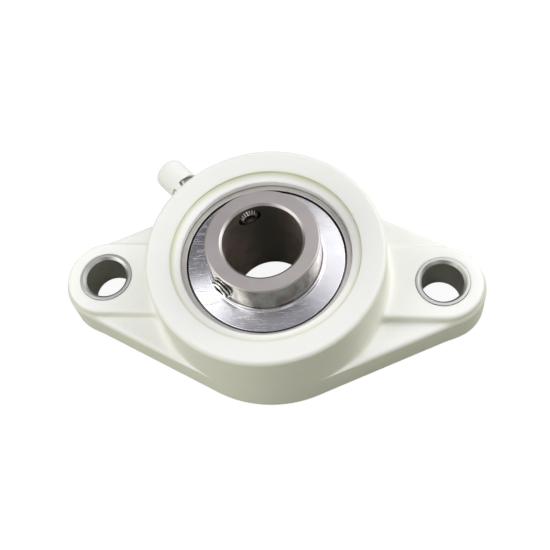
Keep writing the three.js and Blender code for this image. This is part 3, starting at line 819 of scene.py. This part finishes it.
def build_inner_ring():
    """Inner ring with its long collar, bored for the shaft and drilled for the set screws."""
    groove_middle = PITCH_RADIUS - BALL_RADIUS - RACE_GAP + RACE_RADIUS
    groove_edge = math.degrees(math.acos((groove_middle - INNER_RING_RADIUS) / RACE_RADIUS))
    bore_chamfer, rear_chamfer, front_chamfer = 0.6, 0.4, 0.35
    bore_edge = SHAFT_RADIUS + bore_chamfer
    outline = rounded([
        (bore_edge, -INNER_REAR, 0.1), (INNER_RING_RADIUS - rear_chamfer, -INNER_REAR, 0.15),
        (INNER_RING_RADIUS, -INNER_REAR + rear_chamfer, 0.15),
        *arc(groove_middle, 0, RACE_RADIUS, 180 + groove_edge, 180 - groove_edge, 20),
        (INNER_RING_RADIUS, INNER_FRONT - front_chamfer, 0.15),
        (INNER_RING_RADIUS - front_chamfer, INNER_FRONT, 0.1), (bore_edge, INNER_FRONT, 0.1),
        (SHAFT_RADIUS, INNER_FRONT - bore_chamfer, 0.1),
        (SHAFT_RADIUS, -INNER_REAR + bore_chamfer, 0.1),
    ])

    def slot_of(r0, z0, r1, z1):
        """Honed in the bore, satin on the two end faces, and turned on the side."""
        if max(r0, r1) < SHAFT_RADIUS + 0.05:
            return 2
        flat = abs(z1 - z0) < abs(r1 - r0) * 1.2
        return 0 if flat and abs(z0) > INNER_REAR - 1 else 1

    obj = revolve("inner_ring_turned", outline, [COLLAR_END, COLLAR_SIDE, BORE], slot_of=slot_of,
                  centre=AT_CENTRE, segments=192)
    for name in SCREW_NAMES:
        angle, height, _ = screw_place(name)
        cut_with(obj, screw_hole_cutter(angle, height))
    obj.data.set_sharp_from_angle(angle=math.radians(38))
    weigh_normals(obj)
    place(obj, "shaft_ring", "collar_steel", "inner_ring")


def build_slinger(end, flip):
    """Pressed plate: a neck that hugs the ring and a shallow cone with a rolled rim."""
    thickness = 0.52
    bore = INNER_RING_RADIUS + 0.03
    neck, rim = bore + thickness, SLINGER_RADIUS
    top, neck_end, cone = SLINGER_TOP, SLINGER_TOP - 2.3, SLINGER_TOP - 0.62
    outline = rounded([
        (bore, neck_end), (neck, neck_end), (neck, cone - 0.58, 0.35), (rim, cone - 1.03, 0.2),
        (rim, cone - 0.5, 0.3), (neck + 0.15, cone, 0.35), (neck, top, 0.22), (bore, top, 0.2),
    ], steps=5)
    obj = revolve(f"slinger_plate_{end}", outline, [SLINGER], centre=AT_CENTRE, segments=192,
                  flip=flip)
    weigh_normals(obj)
    place(obj, "shaft_ring", "polished_steel", f"slinger_{end}")


def build_seal(end, flip):
    """Pressed plate with a curled rim, and the rubber lip bonded to its inner edge."""
    rim, curl_low, curl_high = SEAL_SEAT_RADIUS - 0.04, 5.5, 7.05
    bore, low, high = 16.4, 5.95, 6.5
    plate = rounded([
        (bore, low), (rim - 0.95, low, 0.3), (rim - 0.6, curl_low, 0.2), (rim, curl_low),
        (rim, curl_high, 0.2), (rim - 0.6, curl_high), (rim - 0.65, high, 0.3), (bore, high),
    ], radius=0.12)
    root, bend, edge = bore - 0.1, 15.1, INNER_RING_RADIUS + 0.04
    lip = rounded([
        (edge, 6.55, 0.1), (bend, 5.72, 0.3), (root, 5.72), (root, 6.72), (bend, 6.75, 0.3),
        (edge, 6.9, 0.1),
    ], radius=0.15)
    for name, outline, material, slot, node in (
            ("seal_disc", plate, PRESSED, "pressed_steel", "seal_plate"),
            ("seal_rubber", lip, RUBBER, "seal_rubber", "seal_lip")):
        obj = revolve(f"{name}_{end}", outline, [material], centre=AT_CENTRE, flip=flip)
        weigh_normals(obj)
        place(obj, "insert", slot, f"{node}_{end}")


build_outer_ring()
build_inner_ring()
for end, flip in ENDS:
    build_slinger(end, flip)
for end, flip in ENDS:
    build_seal(end, flip)


# -------- balls and cage

CAGE_INNER, CAGE_OUTER = 15.2, 18.3
CAGE_GAP, CAGE_THICKNESS = 0.1, 0.5
POCKET_RADIUS = BALL_RADIUS + 0.12


def taken_from(grid):
    """Points and faces of a bmesh, which is freed."""
    points = np.array([v.co for v in grid.verts])
    faces = [[v.index for v in face.verts] for face in grid.faces]
    grid.free()
    return points, faces


def place_ball(name, node, points, faces):
    obj = make_object(name, points, faces, [BALL], sharp_deg=180)
    obj.location = Vector(middle_mm(node)) * MM
    place(obj, node, "ball_steel", node)


def build_ball(index):
    """A lapped ball: a cube subdivided and swelled to a sphere, with no poles."""
    grid = bmesh.new()
    bmesh.ops.create_cube(grid, size=2)
    bmesh.ops.subdivide_edges(grid, edges=grid.edges[:], cuts=13, use_grid_fill=True)
    points, faces = taken_from(grid)
    points = np.tan(points * math.pi / 4)
    points *= BALL_RADIUS / np.linalg.norm(points, axis=1, keepdims=True)
    place_ball(f"bearing_ball_{index}", f"ball_{index}", points, faces)


def cage_height(radius, angle):
    """Height of the cage strip's near face over the balls' plane, at a place on the ring."""
    step = TURN / BALL_COUNT
    off = (angle + step / 2) % step - step / 2
    from_ball = np.sqrt(radius ** 2 + PITCH_RADIUS ** 2
                        - 2 * radius * PITCH_RADIUS * np.cos(off))
    bowl = np.sqrt(np.maximum(POCKET_RADIUS ** 2 - from_ball ** 2, 0))
    blend = 0.5
    h = np.clip(0.5 + 0.5 * (bowl - CAGE_GAP) / blend, 0, 1)
    return CAGE_GAP * (1 - h) + bowl * h + blend * h * (1 - h)


def build_cage_half(end, flip):
    """A pressed half of the ribbon cage: flats between the balls and a bowl over each."""
    sign = -1 if flip else 1
    rings_across, points_per_ball = 9, 40
    across = np.linspace(CAGE_INNER, CAGE_OUTER, rings_across)
    angles = round_angles(points_per_ball * BALL_COUNT)
    rings = []
    for lift, radii in ((0, across), (CAGE_THICKNESS, across[::-1])):
        for radius in radii:
            height = (cage_height(radius, angles) + lift) * sign + CENTRE_Z
            rings.append(ring_points(angles, radius, height))
    points, faces = skin(rings, True)
    obj = make_object(f"cage_ribbon_{end}", points, faces, [PRESSED])
    place(obj, "cage", "pressed_steel", f"cage_half_{end}")


def build_rivet(index):
    """A rivet with a domed head at each side of the cage."""
    shank, head = 0.5, 1.0
    low = CAGE_GAP + CAGE_THICKNESS + 0.06
    upper = [(shank, low - 0.3), (shank + 0.05, low), (head, low + 0.02),
             (head - 0.08, low + 0.25), (head - 0.4, low + 0.42), (0, low + 0.48)]
    lower = [(radius, -height) for radius, height in reversed(upper)]
    name = f"cage_rivet_{index}"
    obj = revolve(f"rivet_{index}", lower + upper, [PRESSED], segments=24)
    obj.location = Vector(middle_mm(name)) * MM
    place(obj, "cage", "pressed_steel", name)


for end, flip in ENDS:
    build_cage_half(end, flip)
for index in range(1, BALL_COUNT + 1):
    build_ball(index)
    build_rivet(index)


# -------- set screws

def hexagon(angles, across_flats):
    """Radius of a hexagon's side at each angle round its middle."""
    sector = TURN / 6
    return across_flats / 2 / np.cos((angles + sector / 2) % sector - sector / 2)


def build_set_screw(name):
    """A threaded grub screw: knurled cup point inside, hexagon socket outside."""
    segments, thread_steps, knurls = 192, 96, 18
    pitch, depth, knurl_depth = 0.8, 0.45, 0.25
    root = SCREW_RADIUS - depth
    thread_low, thread_high = 1.15, SCREW_LENGTH - 0.3
    angles = round_angles(segments)
    rings, slots = [], []

    def ring(radius, height, dull=0.0):
        """Adds a ring of points. Where dull is over a half, the faces that follow are dark: painted
        shade.
        """
        rings.append(ring_points(angles, radius, height))
        slots.extend((np.broadcast_to(dull, angles.shape) > 0.5).astype(int).tolist())

    # Painted shade: the thread's roots, the knurls' valleys, the cup and the socket take the dark
    # steel
    valley = np.abs(2 * ((angles * knurls / TURN + 0.06) % 1.0) - 1)
    # Radius, height and share of the knurls' depth, from the cup's bottom to the thread
    cup = [(0.3, 0.9, 0), (1.2, 0.45, 0), (1.55, 0.02, 0.3), (1.75, 0.0, 0.6), (1.85, 0.08, 1),
           (2.225, 0.54, 1), (2.6, 1.0, 1)]
    for radius, height, knurled in cup:
        ring(radius - knurled * knurl_depth * valley, height, valley if knurled else 1)
    ring(root, thread_low, 1)
    for height in np.linspace(thread_low, thread_high, thread_steps + 1)[1:-1]:
        phase = (height / pitch - angles / TURN) % 1.0
        crest = np.clip(1.25 * (1 - np.abs(2 * phase - 1)) - 0.1, 0, 1)
        fade = min(1, (height - thread_low) / 0.2, (thread_high - height) / 0.2)
        ring(root + depth * crest * fade, height, 1 - crest * fade)
    ring(root, SCREW_LENGTH - 0.2)
    ring(root - 0.15, SCREW_LENGTH)
    socket, socket_floor = hexagon(angles, 3.0), SCREW_LENGTH - 2.6
    ring(socket + 0.12, SCREW_LENGTH)
    ring(socket, SCREW_LENGTH - 0.15, 1)
    ring(socket, socket_floor, 1)
    ring(0.3, socket_floor - 0.5, 1)
    points, faces = skin(rings, False)
    bands = len(faces) - 2 * segments
    # The two end fans, in the cup and at the socket's floor, take the dark steel too: painted shade
    slots = slots[:bands] + [1] * (2 * segments)
    obj = make_object(f"{name}_thread", points, faces, [SCREW, PAINTED_SHADE_STEEL], slots, sharp_deg=30)
    angle, height, tip = screw_place(name)
    obj.data.transform(outward_placement(angle, height) @ Matrix.Translation((0, 0, tip * MM)))
    place(obj, name, "screw_steel", name)


for screw_name in SCREW_NAMES:
    build_set_screw(screw_name)


# -------- grease nipple

NIPPLE_PLACEMENT = outward_placement(NIPPLE_ANGLE, NIPPLE_Z)


def out_range(node):
    """Nearest and furthest distance of a CAD node along the nipple's axis, in millimetres."""
    mesh = frame["nodes"][node].data
    out = [v.co.x * NIPPLE_AXIS[0] + v.co.y * NIPPLE_AXIS[1] for v in mesh.vertices]
    return min(out) / MM, max(out) / MM


SHANK_END, NIPPLE_TIP = out_range("grease_nipple")
TAB_END, CAP_END = out_range("nipple_cap")
CAP_RADIUS = half_height_mm("nipple_cap")
HEX_LOW, HEX_HIGH = HUB_RADIUS - 0.3, HUB_RADIUS + 3.95
CAP_BASE = HUB_RADIUS + 4
# The cap's dome ends a little further out than the CAD cap's
CAP_DOME = CAP_END + 0.7
TAB_ANGLE = math.radians(180 - 33)


def build_nipple():
    """The nipple: threaded shank, hexagon, neck and rounded head, with a duct through it."""
    thread_steps, thread_root, thread_depth = 48, 2.55, 0.45
    angles = round_angles(96)
    outline = []
    for height in np.linspace(SHANK_END, HEX_LOW - 0.2, thread_steps + 1):
        phase = (height - angles / TURN) % 1.0
        outline.append((thread_root + thread_depth * (1 - abs(2 * phase - 1)), height))
    flats = hexagon(angles - TAB_ANGLE, 7.0)
    cut_corners = np.minimum(flats, 3.6)
    outline += [(cut_corners, HEX_LOW), (flats, HEX_LOW + 0.3), (flats, HEX_HIGH - 0.15),
                (cut_corners, HEX_HIGH)]
    neck, head, mouth, chamber, duct = 2.3, 3.25, 0.95, 1.5, 0.8
    chamber_floor = HEX_HIGH - 1.1
    outline += rounded([
        (neck, HEX_HIGH, 0), (neck, HEX_HIGH + 0.6, 0.3), (head, HEX_HIGH + 1.3, 0.3),
        (head, HEX_HIGH + 2.4, 0.6), (2.1, NIPPLE_TIP, 0.5), (mouth, NIPPLE_TIP, 0.2),
        (mouth, NIPPLE_TIP - 0.75, 0.1), (chamber, NIPPLE_TIP - 1.2, 0.1),
        (chamber, chamber_floor, 0.1), (duct, chamber_floor, 0.1), (duct, SHANK_END, 0),
    ])
    points, faces = skin([ring_points(angles, *level) for level in outline], True)
    obj = make_object("nipple_body", points, faces, [NIPPLE], sharp_deg=42)
    obj.data.transform(NIPPLE_PLACEMENT)
    place(obj, "housing", "nipple_steel", "grease_nipple")


def build_cap():
    """The cap: a cup with a domed end, and a tab on one side of its mouth."""
    angles = round_angles(144)
    off_tab = np.abs((angles - TAB_ANGLE + math.pi) % TURN - math.pi) * CAP_RADIUS
    tab_half_width, tab_fade = 0.75, 0.3
    tab = 1 - np.clip((off_tab - tab_half_width) / tab_fade, 0, 1)
    tab = tab * tab * (3 - 2 * tab)
    reach = (CAP_BASE - TAB_END) * tab
    wall, end_wall, dome_edge = 0.6, 1.0, 2.6
    inside = CAP_RADIUS - wall
    outline = rounded([
        (0, CAP_DOME - end_wall, 0), (inside, CAP_DOME - end_wall - 0.2, 1.2),
        (inside, CAP_BASE, 0.08), (CAP_RADIUS, CAP_BASE, 0.2), (CAP_RADIUS, CAP_DOME, dome_edge),
        (0, CAP_DOME, 0),
    ], steps=8)
    rings = []
    for radius, height in outline[1:-1]:
        hang = reach * np.clip(1 - (height - CAP_BASE) / 1.2, 0, 1)
        rings.append(ring_points(angles, radius, height - hang))
    points, faces = skin(rings, False)
    obj = make_object("nipple_cap_moulding", points, faces, [CAP], sharp_deg=50)
    obj.data.transform(NIPPLE_PLACEMENT)
    weigh_normals(obj)
    place(obj, "nipple_cap", "cap_plastic", "nipple_cap")


def build_check_ball():
    grid = bmesh.new()
    bmesh.ops.create_icosphere(grid, subdivisions=4, radius=1)
    points, faces = taken_from(grid)
    node = "nipple_check_ball"
    place_ball("valve_ball", node, points * half_height_mm(node), faces)


def build_spring():
    """The valve spring, a round wire on a helix, as long as the CAD spring; the mesh is fixed and
    does not shorten.
    """
    low, high = out_range("nipple_spring")
    wire, coil, turns = 0.16, 0.95, 5
    steps, sides = turns * 24, 10
    along = np.linspace(0, 1, steps + 1)
    angles = along * turns * TURN
    centre = ring_points(angles, coil, low + wire + (high - low - 2 * wire) * along)
    outward = ring_points(angles, 1, 0)
    tangent = np.gradient(centre, axis=0)
    tangent /= np.linalg.norm(tangent, axis=1, keepdims=True)
    side = np.cross(tangent, outward)
    section = round_angles(sides)[:, None]
    rings = [centre[i] + wire * (np.cos(section) * outward[i] + np.sin(section) * side[i])
             for i in range(steps + 1)]
    points, faces = skin(rings, False)
    obj = make_object("valve_spring", points, faces, [NIPPLE])
    obj.data.transform(NIPPLE_PLACEMENT)
    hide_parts("nipple_spring")
    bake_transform(obj)


build_nipple()
build_cap()
build_check_ball()
build_spring()


# -------- floor, light and camera

# Brightness of the floor and the backdrop to the camera, how strongly shadows show on that
# floor, and the floor's colour to the light that bounces off it
BACKDROP = 0.92
FLOOR_SHADE = (0.15, 0.15, 0.15, 1)
FLOOR_BOUNCE = (0.36, 0.36, 0.29, 1)


def build_floor():
    """A plain floor just under the mounting face, near white to the camera even in shade."""
    mesh = bpy.data.meshes.new("floor")
    reach, drop = 3000 * MM, -0.1 * MM
    corners = [(-reach, -reach, drop), (reach, -reach, drop), (reach, reach, drop),
               (-reach, reach, drop)]
    mesh.from_pydata(corners, [], [(0, 1, 2, 3)])
    floor = add_object("floor", mesh)
    s = Shader("floor_white", Base_Color=FLOOR_BOUNCE, Roughness=1.0, Specular_IOR_Level=0.0)
    glow = s.node("Emission", {"Color": (1, 1, 1, 1), "Strength": BACKDROP})
    dull = s.node("BsdfDiffuse", {"Color": FLOOR_SHADE})
    pale = s.node("AddShader", {0: glow.outputs[0], 1: dull.outputs[0]})
    s.show("Material Output", pale, s.surface)
    mesh.materials.append(s.material)


# Soft patches of light on the studio's walls: direction from the bearing, half-width in degrees
# of the full-strength middle and of the faded edge, strength and colour. The one with a negative
# strength is a dark flag.
LIGHT_PATCHES = (
    ((0.78, 0.46, 0.50), 10, 34, 3.2, (1.0, 1.0, 0.98)),
    ((-0.86, -0.36, 0.34), 10, 42, 1.95, (1.0, 1.0, 0.95)),
    ((0.22, 0.82, 0.50), 10, 32, 0.5, (1.0, 1.0, 1.0)),
    ((0.46, -0.74, 0.47), 5, 12, 1.3, (1.0, 1.0, 1.0)),
    ((-0.44, 0.60, 0.67), 6, 18, -0.25, (1.0, 1.0, 1.0)),
)
# Colours of the surroundings level with the bearing and over it
HORIZON = (0.155, 0.155, 0.11)
OVERHEAD = (0.35, 0.35, 0.365)


def build_world():
    """Dim surroundings, paler overhead, with a few broad, soft patches of light."""
    world = bpy.data.worlds.new("studio")
    bpy.context.scene.world = world
    world.use_nodes = True
    s = Nodes(world.node_tree)

    def vector_math(operation, *values):
        return s.node("VectorMath", enumerate(values), operation=operation)

    direction = s.node("TexCoord").outputs["Generated"]
    up = s.node("SeparateXYZ", {0: direction}).outputs[2]
    rise = [high - low for low, high in zip(HORIZON, OVERHEAD)]
    total = vector_math("MULTIPLY_ADD", s.band(up, 0.0, 0.9), rise, HORIZON).outputs[0]
    for toward, inner, outer, strength, colour in LIGHT_PATCHES:
        facing = vector_math("DOT_PRODUCT", direction, Vector(toward).normalized())
        share = s.band(facing.outputs["Value"], math.cos(math.radians(outer)),
                       math.cos(math.radians(inner)))
        glow = [strength * value for value in colour]
        total = vector_math("MULTIPLY_ADD", share, glow, total).outputs[0]
    lit = s.tree.nodes["Background"]
    s.tree.links.new(total, lit.inputs["Color"])
    plain = s.node("Background", {"Color": (BACKDROP, BACKDROP, BACKDROP, 1)})
    s.show("World Output", plain, lit)


def add_strip_light(name, start, end, width, power, distance=0.8):
    """A strip softbox that faces the bearing and stretches from one direction to another.

    Its width and distance are in metres."""
    start, end = Vector(start).normalized() * distance, Vector(end).normalized() * distance
    middle = (start + end) / 2
    along = (end - start).normalized()
    away = (middle - along * middle.dot(along)).normalized()
    light = bpy.data.lights.new(name, "AREA")
    light.shape = "RECTANGLE"
    light.size = (end - start).length
    light.size_y = width
    light.energy = power
    turned = Matrix((along, away.cross(along), away)).transposed().to_4x4()
    add_object(name, light).matrix_world = Matrix.Translation(middle) @ turned


# The camera, in millimetres and degrees
SENSOR_WIDTH, FOCAL_LENGTH = 36, 56.7
CAMERA_PLACE = (27.22, -102.01, 216.10)
CAMERA_TURN_DEG = (27.04, 5.48, 3.62)


def build_camera():
    """The view from above the front, a little to the right."""
    data = bpy.data.cameras.new("camera")
    data.sensor_width = SENSOR_WIDTH
    data.lens = FOCAL_LENGTH
    camera = add_object("camera", data)
    camera.location = Vector(CAMERA_PLACE) * MM
    camera.rotation_euler = [math.radians(angle) for angle in CAMERA_TURN_DEG]
    bpy.context.scene.camera = camera


build_floor()
build_world()
add_strip_light("strip_left", (-0.37, -0.47, 0.80), (-0.46, 0.33, 0.83), width=0.30, power=1.0)
add_strip_light("strip_right", (0.36, 0.08, 0.93), (0.26, 0.70, 0.67), width=0.32, power=0.68)
build_camera()
bpy.context.scene.view_settings.view_transform = "Standard"
